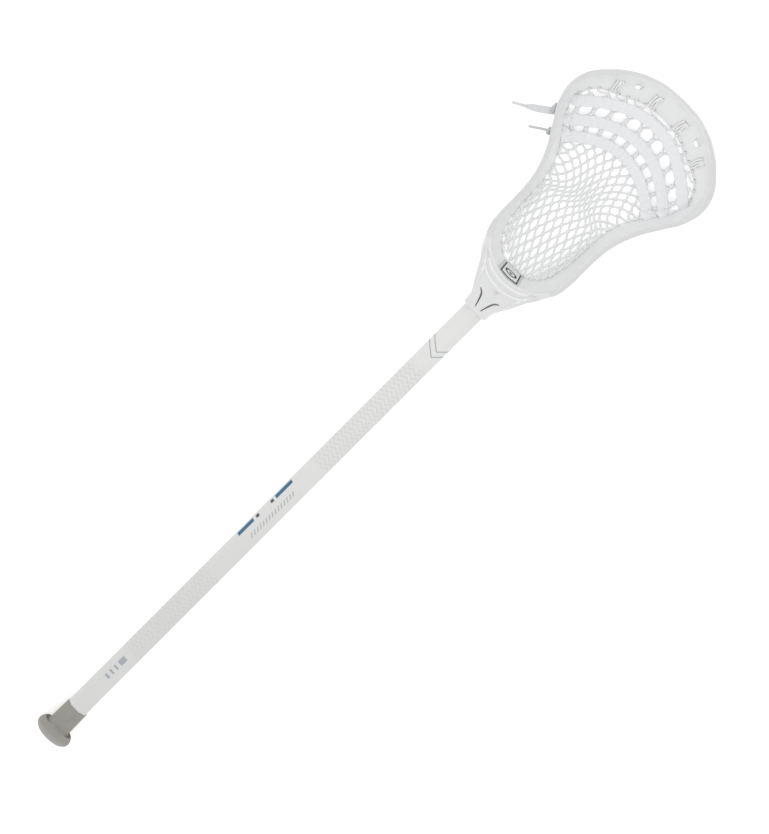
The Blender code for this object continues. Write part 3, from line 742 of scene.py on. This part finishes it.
def hole_ribs():
    """Each string hole's rib number, and the length of foot for one rib there. They are evenly spaced."""
    steps = np.linalg.norm(np.diff(FOOT, axis=0), axis=1)
    length = np.concatenate([[0.0], np.cumsum(steps)])
    start = np.interp(FIRST_HOLE_RIB, RIB, length)
    places = np.arange(start, length[-1] - HOLE_PITCH * 0.3, HOLE_PITCH)
    speed = np.gradient(length, RIB)
    return [(float(np.interp(p, length, RIB)), float(np.interp(p, length, speed))) for p in places]


HOLES = hole_ribs()


def opening_at(rib, openings, closed):
    """Upper and lower share of the opening at a rib, or the same share twice where there is none."""
    for first, last, top, bottom, square, drop in openings:
        if first < rib < last:
            place = abs(2 * (rib - first) / (last - first) - 1)
            half = (1 - place ** square) ** (1 / square) * (bottom - top) / 2
            return (top + bottom) / 2 - half, (top + bottom) / 2 + half, drop
    return closed, closed, 0.0


def string_openings():
    found = []
    for rib, speed in HOLES:
        height = np.linalg.norm(DOWN[int(np.argmin(abs(RIB - rib)))])
        tall, wide = HOLE_RADIUS / height, HOLE_RADIUS / speed
        found.append((rib - wide, rib + wide, HOLE_SHARE - tall, HOLE_SHARE + tall, 2.0, 0.0))
    return found


def wall_mesh():
    """The closed loop of side walls, ball-stop wall and scoop with all its openings."""
    section = WALL_OUTER + WALL_INNER
    holes = string_openings()
    outer_web = [k for k, row in enumerate(WALL_OUTER) if row[0] in ("web_top", "web_bottom")]
    rings = []
    is_open = []
    for i, rib in enumerate(RIB):
        web = opening_at(rib, WEB_OPENINGS, 0.42)
        hole = opening_at(rib, holes, HOLE_SHARE)
        edges = {"web_top": web[0], "web_bottom": web[1], "hole_top": hole[0], "hole_bottom": hole[1]}
        share = np.array([edges.get(row[0], row[0]) for row in section], float)[:, None]
        share[outer_web] += web[2]
        depth = np.array([row[1] * (1 - SCOOP[i]) + row[2] * SCOOP[i] for row in section])[:, None]
        bow = SCOOP_BOW * 4 * np.clip(share, 0, 1) * (1 - np.clip(share, 0, 1)) * SCOOP[i]
        ring = UPPER[i] + DOWN[i] * share + INWARD[i] * (depth - bow)
        rings.append(np.array(world(ring)))
        is_open.append((web[0] < web[1], hole[0] < hole[1]))
    rings += [ring * MIRROR for ring in rings[-2:0:-1]]
    is_open += is_open[-2:0:-1]
    points = np.concatenate(rings)
    count, columns = len(section), len(rings)
    outer_names, inner_names = [row[0] for row in WALL_OUTER], [row[0] for row in WALL_INNER]
    slots = []
    for kind, label in enumerate(("web", "hole")):
        edges = (label + "_top", label + "_bottom")
        outer = [outer_names.index(edge) for edge in edges]
        inner = [len(WALL_OUTER) + inner_names.index(edge) for edge in edges]
        slots.append((kind, *outer, *inner))
    skipped = {slot[1] for slot in slots} | {slot[4] for slot in slots}
    faces = []
    for i in range(columns):
        j = (i + 1) % columns
        here, there = i * count, j * count
        for k in range(count):
            if k not in skipped:
                after = (k + 1) % count
                faces.append((here + k, here + after, there + after, there + k))
        for kind, outer_top, outer_bottom, inner_top, inner_bottom in slots:
            if is_open[i][kind] or is_open[j][kind]:
                faces.append((here + outer_top, there + outer_top, there + inner_top, here + inner_top))
                faces.append((here + inner_bottom, there + inner_bottom, there + outer_bottom,
                              here + outer_bottom))
    mesh = bpy.data.meshes.new("head_moulding")
    mesh.from_pydata([tuple(p) for p in points], [], faces)
    outwards(mesh, welded=True)
    return mesh


def throat_mesh():
    rings = []
    for along, half_width, top, bottom, drop in catmull(THROAT, 6):
        height = top - bottom
        side = [(half_width * x, bottom + height * z) for x, z in THROAT_SIDE]
        side += [(half_width * x, top - drop + 0.0004 * (1 - x)) for x in DECK]
        ring = side + [(-x, z) for x, z in side[-2:0:-1]]
        rings.append([(x, y_of(along), z) for x, z in ring])
    return loft("throat", rings)


def ridge_mesh(route, width, rise):
    """A low rounded ridge on the face of the throat."""
    path = [(x, y_of(along), face_top(y_of(along)) - rise * 0.9) for x, along in catmull(route, 6)]
    return mesh_of("ridge", *swept(path, circle(1.0, 16) * np.array([width / 2, rise * 1.9])), 60)


def ball_space_mesh():
    """The space inside the middle of the wall, open above and below."""
    rings = []
    every = slice(None, None, 4)
    levels = ((UPPER, 0.09, 0.4), (UPPER, None, 0.4), (FOOT, None, -0.5), (FOOT, -0.02, -0.5))
    for rows, height, depth in levels:
        ring = (rows - OUTWARD * RAIL_THICKNESS * depth)[every].copy()
        if height is not None:
            ring[:, 2] = height
        rings.append(world(np.concatenate([ring, ring[-2:0:-1] * MIRROR])))
    return loft("ball_space", rings)


def on_axis(points):
    return [AXIS @ Vector(p) for p in points]


def bore_mesh():
    outline = octagon(SHAFT_FLATS + 2 * GAP, SHAFT_CORNER)
    return loft("bore", [on_axis([(x, along, z) for x, z in outline]) for along in (0.60, SHAFT_END + GAP)])


def pin_hole_mesh(radius, top, bottom):
    flat = circle(radius, 32) + np.array([0.0, SCREW_ALONG])
    return loft("pin_hole", [on_axis([(x, along, z) for x, along in flat]) for z in (bottom, top)])


def slit_mesh(side):
    """The tool for a slit, which tapers towards both ends. The side is 1 for the right one."""
    path = [(side * x, y_of(along), SLIT_FLOOR + SLIT_TOOL / 2) for x, along in catmull(SLIT, 5)]
    outline = np.array([(-0.5, -0.5), (0.5, -0.5), (0.5, 0.5), (-0.5, 0.5)]) * (1.0, SLIT_TOOL)
    shares = np.linspace(0, 1, len(path))
    widths = [SLIT_WIDTH * (0.45 + 0.55 * math.sin(math.pi * share)) for share in shares]
    mesh = mesh_of("slit", *swept(path, np.array([outline * (width, 1.0) for width in widths])))
    outwards(mesh)
    return mesh


def face_top(y):
    """Height of the upper face of the throat in its middle part."""
    rows = np.array(THROAT)
    return float(np.interp(y + LENGTH / 2, rows[:, 0], rows[:, 2] - rows[:, 4]))


def paint_light_and_shade_on_faces(mesh):
    """Which of the head's materials each face has, where copies of its plastic carry painted shade and light.
    """
    slit = np.array([(side * x, y_of(along)) for side in (-1, 1) for x, along in catmull(SLIT, 8)])
    throat = np.array(THROAT)
    for face in mesh.polygons:
        x, y, z = face.center
        slit_distance = np.min(np.hypot(slit[:, 0] - x, slit[:, 1] - y))
        rim_distances = np.hypot(UPPER[:, 0] - abs(x), y_of(UPPER[:, 1]) - y)
        near = int(np.argmin(rim_distances))
        at_rim = rim_distances[near] < RIM_WIDTH and abs(z - UPPER[near][2]) < RIM_DEPTH
        on_rim = at_rim and RIB[near] > 4 and face.normal.z > RIM_UPWARD
        half_width, top, bottom = (np.interp(y + LENGTH / 2, throat[:, 0], throat[:, k]) for k in (1, 2, 3))
        on_side = abs(x) > 0.80 * half_width and 0.45 < (z - bottom) / (top - bottom) < 0.95
        outward = math.copysign(OUTWARD[near][0], x) * face.normal.x + OUTWARD[near][1] * face.normal.y
        # Painted shade: the dark copy on the faces in the slits
        if slit_distance < SLIT_WIDTH * 0.56 and 0.040 < z < face_top(y) - 0.0004:
            face.material_index = 1
        # Painted shade: the darker copy on the rim and on the throat's sides
        elif on_rim or on_side and y < y_of(SIDE_PAINTED_SHADE_END):
            face.material_index = 2
        # Painted light: the paler copy on the faces that look inward
        elif outward < -0.4 and y > y_of(0.6700):
            face.material_index = 3


def make_head():
    throat = link("throat", throat_mesh(), None)
    cut(throat, "DIFFERENCE", ball_space_mesh())
    head = piece("head_moulding", wall_mesh(), None, "stick", "head_plastic", "head_frame")
    cut(head, "UNION", throat.data)
    for route, width, rise in RIDGES:
        mirrored = [(-x, along) for x, along in route[:0:-1]]
        cut(head, "UNION", ridge_mesh(mirrored + route, width, rise))
    bpy.data.objects.remove(throat, do_unlink=True)
    tools = [bore_mesh(), pin_hole_mesh(*SCREW_HOLE), pin_hole_mesh(*SCREW_HEAD_HOLE)]
    for tool in tools + [slit_mesh(-1), slit_mesh(1)]:
        cut(head, "DIFFERENCE", tool)
    head.data.shade_smooth()
    head.data.set_sharp_from_angle(angle=math.radians(38))
    head.data.materials.clear()
    for made in (PLASTIC, SLIT_PAINTED_SHADE, RIM_AND_SIDE_PAINTED_SHADE, INNER_PAINTED_LIGHT):
        head.data.materials.append(made)
    paint_light_and_shade_on_faces(head.data)


# The stringing

def net_place(row, s):
    """A place on a row of knots, where s runs from -0.5 on the left edge to CHAINS - 0.5 on the right."""
    along, fall, crowd, lean = NET_ROWS[row]
    t = (s - (CHAINS - 1) / 2) / (CHAINS / 2)
    spread = t * (1 + crowd * (1 - abs(t) ** 3))
    half = np.interp(along - fall, STRAND_EDGE[:, 1], STRAND_EDGE[:, 0])
    return np.array([half * spread + lean * (1 - t * t), along - fall * spread ** 2])


def net_direction(row, s):
    """The way along the stick at a knot, for strands that lie side by side."""
    before, after = max(row - 1, 0), min(row + 1, len(NET_ROWS) - 1)
    return unit(net_place(after, s) - net_place(before, s))


def chain_path(chain):
    """One strand of the net, from the throat to the scoop, tied to its neighbours in turn."""
    points = []
    for row in range(len(NET_ROWS)):
        side = 1 if (chain - row) % 2 else -1
        s = chain + side / 2
        radius = STRAND_RADIUS * (THICKER if row >= FIRST_THICK_ROW else 1.0)
        way = net_direction(row, s)
        centre = net_place(row, s) - side * np.array([way[1], -way[0]]) * radius * 0.85
        gap = NET_ROWS[min(row + 1, len(NET_ROWS) - 1)][0] - NET_ROWS[max(row - 1, 0)][0]
        for step in (-1, 1):
            x, along = centre + way * step * LONG_ROWS.get(row, gap * HOLD)
            twist = 0.00025 * step * side
            points.append((x, along, net_floor(x, along) + NET_THICKNESS / 2 + twist, radius))
    return catmull(points, 4)


def net_strand(chain):
    rows = chain_path(chain)
    return swept(world(rows[:, :3]), circle(1.0, 7)[None] * rows[:, 3][:, None, None])


def net_knot(row, s):
    """The short wrap that holds two strands together."""
    x, along = net_place(row, s)
    way = net_direction(row, s)
    scale = THICKER if row >= FIRST_THICK_ROW else 1.0
    half = LONG_ROWS.get(row, 0.0018)
    shares = np.array([-1.0, -0.8, -0.35, 0.35, 0.8, 1.0])
    swell = np.array([0.45, 0.85, 1.0, 1.0, 0.85, 0.45])
    height = net_floor(x, along) + NET_THICKNESS / 2
    path = [(x + way[0] * t * half, y_of(along + way[1] * t * half), height) for t in shares]
    wide = circle(1.0, 8) * np.array([STRAND_RADIUS * 1.95, STRAND_RADIUS * 1.2]) * scale
    return swept(path, wide[None] * swell[:, None, None])


def make_net():
    parts = [net_strand(chain) for chain in range(CHAINS)]
    for row in range(len(NET_ROWS)):
        for chain in range(1 - row % 2, CHAINS - 1, 2):
            parts.append(net_knot(row, chain + 0.5))
    net = cord_piece("mesh_net", parts, NET, "net_nylon", "mesh_pocket")


def lace_outline(width, thickness, columns=8):
    """Cross-section of a flat lace with round, slightly thicker edges."""
    half = width / 2 - thickness / 2
    right = [(half + math.cos(a) * thickness / 2, math.sin(a) * thickness / 2)
             for a in np.linspace(-math.pi / 2, math.pi / 2, 5)]
    top = [(x, thickness / 2 * 0.82) for x in np.linspace(half, -half, columns)[1:-1]]
    left = [(-x, -z) for x, z in right]
    bottom = [(-x, -z) for x, z in top]
    return np.array(right + top + left + bottom)


def lace_part(path, outlines, middle):
    """A lace swept through its outlines, with its second UV the place across the middle one."""
    points, faces, uv = swept(path, np.array(outlines))
    uv[:, 1] = np.tile(middle[:, 0], len(outlines))
    return points, faces, uv


def lace_path(along, half_width, fall):
    """Rows of (x, along, height, share of the width) along a lace that lies on the net."""
    rows = []
    for step in np.linspace(-1, 1, 121):
        x, middle = half_width * step, along - fall * step ** 2
        net_top = max(net_floor(x, middle + off) + NET_THICKNESS for off in (-0.005, 0.0, 0.005))
        wave = math.cos(step * CHAINS * math.pi)
        rows.append((x, middle, net_top + LACE_LIFT + 0.00035 * wave, 1.0 + 0.05 * wave))
    return rows


def make_lace(name, along, half_width, fall, rib):
    rows = lace_path(along, half_width, fall)
    for side in (-1, 1):
        ends = []
        for depth, share, narrow in ((0.0062, 0.80, 0.85), (0.0036, 0.82, 0.70), (0.0, 0.84, 0.60)):
            x, y, z = wall_point(side * rib, share, depth)
            ends.append((x, y + LENGTH / 2, z, narrow))
        rows = rows + ends if side > 0 else ends[::-1] + rows
    rows = catmull(rows, 2)
    outlines = [lace_outline(LACE_WIDTH * max(w, 0.4), LACE_THICKNESS * (1 + 0.9 * max(0.0, 0.9 - w)))
                for w in rows[:, 3]]
    cord_piece(name, [lace_part(world(rows[:, :3]), outlines, outlines[0])], LACE, "lace_nylon", name)
    knots = [knot(wall_point(side * rib, 0.84, -0.0030)) for side in (-1, 1)]
    cord_piece(name + "_knots", knots, STRING, "lace_nylon")


def knot(centre, size=0.00125, radius=0.0013):
    """An overhand knot pulled tight."""
    turns = np.linspace(0, math.tau, 49)[:-1]
    x = np.sin(turns) + 2 * np.sin(2 * turns)
    y = np.cos(turns) - 2 * np.cos(2 * turns)
    z = -np.sin(3 * turns)
    path = np.stack([z * 1.3, x * 0.9, y * 0.9], 1) * size + centre
    return swept(np.concatenate([path, path[:2]]), circle(radius, 8), up=(1.0, 0.0, 0.0))


def string_path(ribs):
    """A string in and out of the holes of the wall and along the edge of the net."""
    path = []
    for k, rib in enumerate(ribs):
        x, along, height = row_at(STRAND_EDGE, rib)
        inside = np.array([math.copysign(x, rib), y_of(along), height])
        hole = wall_point(rib, HOLE_SHARE, 0.0025)
        outside = wall_point(rib, HOLE_SHARE, -0.0008)
        stops = [inside, hole, outside]
        path += stops[::-1] if k % 2 else stops
    return catmull(path, 4)


def lug_tie(rib):
    """A string wound through a lug of the scoop and down to its edge: ribs from the lug, share, depth."""
    turns = [(-0.17, 0.78, 0.0024), (-0.16, 0.52, 0.0050), (-0.06, 0.50, 0.0046), (-0.08, 0.66, 0.0058),
             (-0.10, 0.84, 0.0050), (-0.02, 0.84, 0.0024), (0.00, 0.60, 0.0026), (-0.01, 0.48, 0.0048),
             (0.03, 0.66, 0.0060), (0.02, 0.86, 0.0050), (0.08, 0.82, 0.0024), (0.08, 0.56, 0.0026),
             (0.10, 0.50, 0.0050), (0.14, 0.66, 0.0058), (0.12, 0.86, 0.0050), (0.18, 0.97, 0.0046)]
    return swept(catmull([wall_point(rib + step, share, depth) for step, share, depth in turns], 4),
                 circle(STRING_RADIUS, 8))


def make_strings():
    holes = [hole[0] for hole in HOLES]
    side = [rib for rib in holes if BOTTOM_STRING_END < rib < TOP_STRING_START]
    top = [rib for rib in holes if rib >= TOP_STRING_START]
    foot = [rib for rib in holes if rib <= BOTTOM_STRING_END]
    routes = {
        "right_sidewall_string": side,
        "left_sidewall_string": [-rib for rib in side],
        "top_string": top + [-rib for rib in reversed(top)],
        "bottom_string": [-rib for rib in reversed(foot)] + foot,
    }
    for name, ribs in routes.items():
        parts = [swept(string_path(ribs), circle(STRING_RADIUS, 8))]
        if name == "top_string":
            parts += [lug_tie(side * rib) for rib in LUGS for side in (-1, 1)]
        if name == "left_sidewall_string":
            parts += [knot((x, y_of(along), z), size, radius) for x, along, z, size, radius in OUTER_KNOTS]
        made = cord_piece(name, parts, STRING, "string_nylon", name)
        if name == "left_sidewall_string":
            made.data.materials.append(LOOSE_LACE)
            for face in made.data.polygons[len(parts[0][1]):]:
                face.material_index = 1


# The ball stop

def patch_mesh(name, half_ribs, span, thickness, base, crown, columns=32, rows=20):
    """A closed pad with rounded edges on the ball-stop wall's inner face, with UV of -1 to 1 on its face."""
    front, back, uv = [], [], []
    for j in range(rows + 1):
        v = 2 * j / rows - 1
        for i in range(columns + 1):
            u = 2 * i / columns - 1
            edge = max(abs(u), abs(v)) ** 24
            depth = base + thickness * (1 - 0.5 * edge) + crown * (1 - u * u) * (1 - v * v)
            share = span[0] + (span[1] - span[0]) * (v + 1) / 2
            front.append(wall_point(half_ribs * u, share, depth))
            back.append(wall_point(half_ribs * u, share, base))
            uv.append((u, v))
    count = columns + 1
    total = len(front)
    faces = []
    for j in range(rows):
        for i in range(columns):
            a = j * count + i
            faces.append((a, a + count, a + count + 1, a + 1))
            faces.append((total + a, total + a + 1, total + a + count + 1, total + a + count))
    rim = list(range(count)) + [j * count + columns for j in range(1, rows + 1)]
    rim += [rows * count + i for i in reversed(range(columns))] + [j * count for j in range(rows - 1, 0, -1)]
    for a, b in zip(rim, rim[1:] + rim[:1]):
        faces.append((a, b, total + b, total + a))
    mesh = mesh_of(name, front + back, faces, uv + uv, 50)
    outwards(mesh)
    return mesh


def make_ball_stop():
    base = RAIL_THICKNESS + GAP
    pad_mesh = patch_mesh("pad", *STOP_PAD, base, PAD_CROWN)
    pad = piece("ball_stop_pad_soft", pad_mesh, FOAM, "stick", "stop_foam", "ball_stop_pad")
    label_mesh = patch_mesh("label", *STOP_LABEL, base + STOP_PAD[2] + PAD_CROWN + GAP, 0.0)
    piece("ball_stop_print", label_mesh, LABEL, "stick", "label_film", "ball_stop_label")


# Free ends

def make_tails():
    route = catmull(world(TAIL_ROUTE), 6)
    share = np.linspace(0, 1, len(route))
    width = np.interp(share, [0, 0.12, 0.35, 0.65, 0.9, 1.0], [0.7, 0.95, 1.0, 0.92, 0.55, 0.42]) * TAIL_WIDTH
    thick = np.interp(share, [0, 0.35, 1.0], [0.0026, 0.0022, 0.0024])
    outlines = [lace_outline(w, t) for w, t in zip(width, thick)]
    parts = [lace_part(route, outlines, outlines[len(outlines) // 2])]
    tail = cord_piece("loose_lace_end", parts, LOOSE_LACE, "lace_nylon", "lace_tail")
    tip_route = catmull(world(AGLET_ROUTE), 6)
    swell = np.interp(np.linspace(0, 1, len(tip_route)), [0, 0.1, 0.9, 1.0], [0.8, 1.0, 0.95, 0.6])
    outlines = circle(AGLET_RADIUS, 12)[None] * swell[:, None, None]
    tip_mesh = mesh_of("loose_lace_tip", *swept(tip_route, outlines))
    tip = piece("loose_lace_tip", tip_mesh, AGLET, "stick", "aglet_plastic", "lace_tail_aglet")
    route = catmull(world(STRING_TAIL_ROUTE), 6)
    parts = [swept(route, circle(STRING_TAIL_RADIUS, 8))]
    end = cord_piece("loose_string_end", parts, LOOSE_STRING, "string_nylon", "string_tail")


# The shaft's end cap

def cap_turns():
    """Turns round the shaft's axis, each with how far it is from the middle of the nearest flat."""
    turns = [math.tau * k / CAP_SIDES for k in range(CAP_SIDES)]
    return [(turn + SHAFT_TWIST, (turn + math.pi / 8) % (math.pi / 4) - math.pi / 8) for turn in turns]


def cap_ring(radius, along, roundness, filled=None):
    """A ring of the cap: an octagon with soft corners, or a circle where roundness is 1.

    If filled is given, it is how far along the ring is above and below the axis.
    """
    ring = []
    for turn, off_flat in cap_turns():
        flat = math.cos(math.pi / 8) / math.cos(off_flat)
        reach = radius * (roundness + (1 - roundness) * (0.35 + 0.65 * flat))
        share = min(max((abs(math.cos(turn)) - 0.45) / 0.4, 0.0), 1.0)
        place = along if filled is None else along + (filled - along) * share
        ring.append((reach * math.sin(turn), place, reach * math.cos(turn)))
    return on_axis(ring)


def bore_ring(along):
    middle = SHAFT_FLATS / 2 + GAP
    ring = []
    for turn, off_flat in cap_turns():
        reach = min(middle / math.cos(off_flat), middle * BORE_CORNER)
        ring.append((reach * math.sin(turn), along, reach * math.cos(turn)))
    return on_axis(ring)


def groove_fill(radius):
    """How far from the butt the groove is filled up to, above and below the sleeve."""
    top_radius, top_along = FLANGE_PROFILE[GROOVE_ROW]
    return top_along + (top_radius - radius) * 0.6


def make_cap():
    button = [(0.0030, 0.0010, 1.0), (0.0034, 0.0002, 1.0), (0.0100, 0.0, 1.0)]
    flange = [(radius, along, 1.0, groove_fill(radius) if k > 3 * GROOVE_ROW else along)
              for k, (radius, along) in enumerate(catmull(FLANGE_PROFILE, 3))]
    sleeve = [(0.0138, 0.0117, 0.5, groove_fill(0.0138)), (0.0137, 0.0126, 0.0, groove_fill(0.0136)),
              (0.0134, 0.0240, 0.0), (0.0132, 0.0370, 0.0),
              (0.0131, CAP_LENGTH - 0.0010, 0.0), (0.01295, CAP_LENGTH - 0.0003, 0.0),
              (0.0127, CAP_LENGTH, 0.0)]
    rings = [cap_ring(*row) for row in button + flange + sleeve]
    rings += [bore_ring(along) for along in (CAP_LENGTH, CAP_LENGTH - 0.001, 0.020, CAP_FLOOR)]
    piece("rubber_end_cap", loft("rubber_end_cap", rings, 50), RUBBER, "end_cap", "cap_rubber", "end_cap")


def dress_nodes():
    """New materials for the CAD nodes whose shapes stay."""
    for name, made in (("shaft_tube", COATING), ("head_screw", STEEL)):
        mesh = frame["nodes"][name].data
        mesh.materials.clear()
        mesh.materials.append(made)


# The studio

def camera_frame():
    """Where the camera looks, and its right, up and back directions."""
    slope = Matrix.Rotation(SLOPE, 3, "X")
    back = slope @ Vector((math.sin(CAMERA_SIDE) * math.cos(CAMERA_TILT), math.sin(CAMERA_TILT),
                           math.cos(CAMERA_SIDE) * math.cos(CAMERA_TILT)))
    shaft = slope @ Vector((0.0, 1.0, 0.0))
    way = (shaft - back * shaft.dot(back)).normalized()
    across = way.cross(back)
    middle = AXIS @ Vector((0.0, CAMERA_ALONG, 0.0))
    return middle, (way + across).normalized(), (way - across).normalized(), back


def make_camera():
    target, right, up, back = camera_frame()
    data = bpy.data.cameras.new("camera")
    data.lens = CAMERA_LENS
    data.sensor_width = 36.0
    data.shift_x, data.shift_y = CAMERA_SHIFT
    data.clip_end = 50.0
    camera = bpy.data.objects.new("camera", data)
    bpy.context.scene.collection.objects.link(camera)
    turned = Matrix((right, up, back)).transposed().to_4x4()
    camera.matrix_world = Matrix.Translation(target + back * CAMERA_DISTANCE) @ turned
    bpy.context.scene.camera = camera


def area_light(name, place, target, size, power):
    data = bpy.data.lights.new(name, "AREA")
    data.shape = "DISK"
    data.size = size
    data.energy = power
    made = bpy.data.objects.new(name, data)
    made.location = place
    made.rotation_euler = (Vector(target) - Vector(place)).to_track_quat("-Z", "Y").to_euler()
    bpy.context.scene.collection.objects.link(made)


def make_studio():
    floor_mesh = bpy.data.meshes.new("floor")
    floor_mesh.from_pydata([(-6, -6, 0), (6, -6, 0), (6, 6, 0), (-6, 6, 0)], [], [(0, 1, 2, 3)])
    made, tree, shader = new_material("floor", 0.9, Specular_IOR_Level=0.1, Emission_Color=(1, 1, 1, 1),
                                      Emission_Strength=0.30)
    tree.links.new(mixed(tree, noise(tree, 3.0), shade(0.90), shade(0.92)), shader.inputs["Base Color"])
    link("floor", floor_mesh, made)
    sky = bpy.data.worlds.new("studio")
    sky.use_nodes = True
    tree = sky.node_tree
    up = numbers_of(tree, node(tree, "ShaderNodeTexCoord").outputs["Generated"])[2]
    background = tree.nodes["Background"]
    background.inputs[0].default_value = (1.0, 1.0, 1.0, 1.0)
    tree.links.new(ramp(tree, up, start=0.86, end=0.84), background.inputs[1])
    bpy.context.scene.world = sky
    area_light("key", *KEY_LIGHT)
    bpy.context.scene.view_settings.view_transform = "Standard"


def main():
    make_camera()
    make_tails()
    make_head()
    make_net()
    for name, size in LACES.items():
        make_lace(name, *size)
    make_strings()
    make_ball_stop()
    make_cap()
    dress_nodes()
    make_studio()
    for thing in list(bpy.data.objects):
        if thing.name in ("Cube", "Light", "Camera"):
            bpy.data.objects.remove(thing, do_unlink=True)


main()
